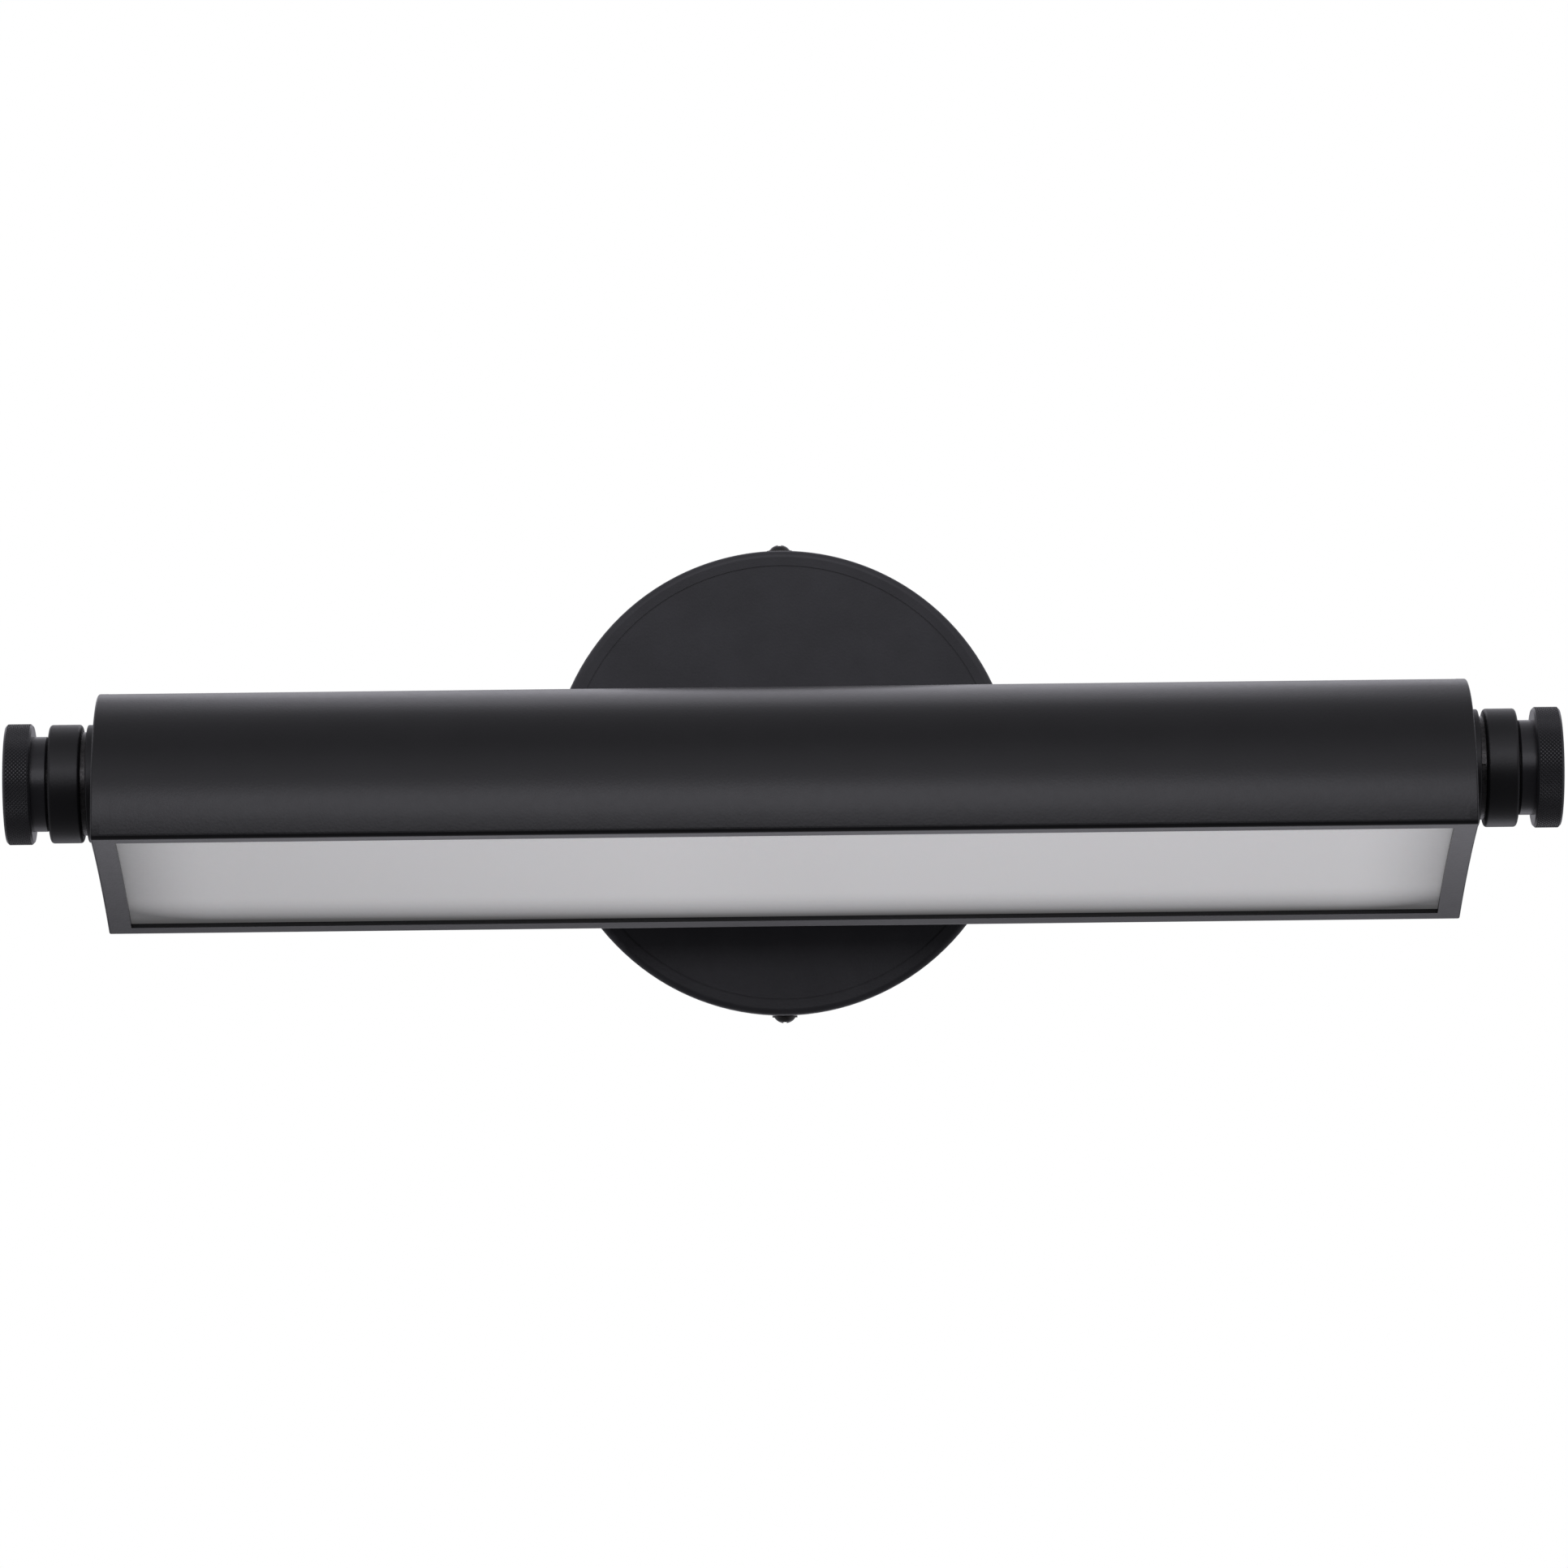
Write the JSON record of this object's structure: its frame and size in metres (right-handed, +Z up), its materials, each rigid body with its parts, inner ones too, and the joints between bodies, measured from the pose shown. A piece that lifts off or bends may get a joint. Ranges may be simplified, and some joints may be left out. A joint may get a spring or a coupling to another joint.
{
  "type": "picture light",
  "caption": "Wall picture light: round canopy, back bar and arms carry a long D-section LED head that tilts between collars and is clamped by knurled end knobs.",
  "frame": {"origin": "centre of the canopy's back, in the plane of the wall, midway between the strap's two slots", "axes": "+Z up, +X along the lamp to a viewer's right, -Y out of the wall towards the room"},
  "size_m": [0.4136, 0.1182, 0.1312],
  "materials": {
    "satin_black": "fine-textured satin black powder coat",
    "black_screw": "black oxide screws and washers, slightly glossy",
    "zinc_steel": "bright zinc-plated steel",
    "green_screw": "green-dyed zinc",
    "bronze_bush": "sintered bronze",
    "bare_aluminium": "mill finish",
    "driver_white": "moulded matt white",
    "terminal_plastic": "moulded off-white nylon",
    "foam_black": "black foam and rubber",
    "wire_brown": "insulated wire",
    "lead_grey": "flexible dark jacket",
    "frosted_acrylic": "frosted translucent acrylic",
    "board_white": "white solder mask and white reflector",
    "led_phosphor": "yellow phosphor LED packages"
  },
  "bodies": {
    "wall_bracket": {"canopy": "satin_black", "mounting_strap": "zinc_steel", "canopy_side_screws": "black_screw", "canopy_side_washers": "black_screw", "ground_screw": "green_screw", "led_driver": "driver_white", "adhesive_pads": "foam_black", "terminal_block": "terminal_plastic", "terminal_screws": "zinc_steel", "driver_input_wires": "wire_brown", "wire_grommet": "foam_black", "supply_lead": "lead_grey", "back_bar": "satin_black", "bar_nuts": "zinc_steel", "bar_screws": "zinc_steel", "arm_screws": "black_screw", "lead_sleeve": "zinc_steel", "left_bar_plug": "bare_aluminium", "right_bar_plug": "bare_aluminium", "left_arm": "satin_black", "right_arm": "satin_black", "left_collar": "satin_black", "right_collar": "satin_black", "left_bush": "bronze_bush", "right_bush": "bronze_bush"},
    "head": {"head_shell": "satin_black", "end_cap_screws": "black_screw", "window_frame": "satin_black", "diffuser": "frosted_acrylic", "led_tray": "bare_aluminium", "tray_screws": "zinc_steel", "led_board": "board_white", "board_screws": "zinc_steel", "led_chips": "led_phosphor", "reflector": "board_white", "lead_connector": "terminal_plastic", "head_lead": "lead_grey", "left_end_cap": "satin_black", "right_end_cap": "satin_black", "left_trunnion": "satin_black", "right_trunnion": "satin_black", "left_trunnion_nut": "zinc_steel", "right_trunnion_nut": "zinc_steel", "left_friction_washer": "black_screw", "right_friction_washer": "black_screw"},
    "left_knob_washer": {"left_knob_washer": "black_screw"},
    "left_knob": {"left_knob": "satin_black"},
    "right_knob_washer": {"right_knob_washer": "black_screw"},
    "right_knob": {"right_knob": "satin_black"}
  },
  "joints": [
    {"name": "head_tilt", "type": "hinge", "parent": "wall_bracket", "child": "head", "pos_m": [0, -0.075, 0], "axis": [1, 0, 0], "range_deg": [-70, 110]},
    {"name": "left_knob_travel", "type": "slide", "parent": "head", "child": "left_knob_washer", "axis": [-1, 0, 0], "range_m": [0, 0.001]},
    {"name": "left_knob_turn", "type": "hinge", "parent": "left_knob_washer", "child": "left_knob", "pos_m": [-0.198, -0.075, 0], "axis": [-1, 0, 0], "range_deg": [0, 360]},
    {"name": "right_knob_travel", "type": "slide", "parent": "head", "child": "right_knob_washer", "axis": [1, 0, 0], "range_m": [0, 0.001]},
    {"name": "right_knob_turn", "type": "hinge", "parent": "right_knob_washer", "child": "right_knob", "pos_m": [0.198, -0.075, 0], "axis": [1, 0, 0], "range_deg": [0, 360]}
  ],
  "couplings": [
    {"joint": "left_knob_travel", "follows": "left_knob_turn", "m_per_rad": 0.00015915},
    {"joint": "right_knob_travel", "follows": "right_knob_turn", "m_per_rad": 0.00015915}
  ]
}
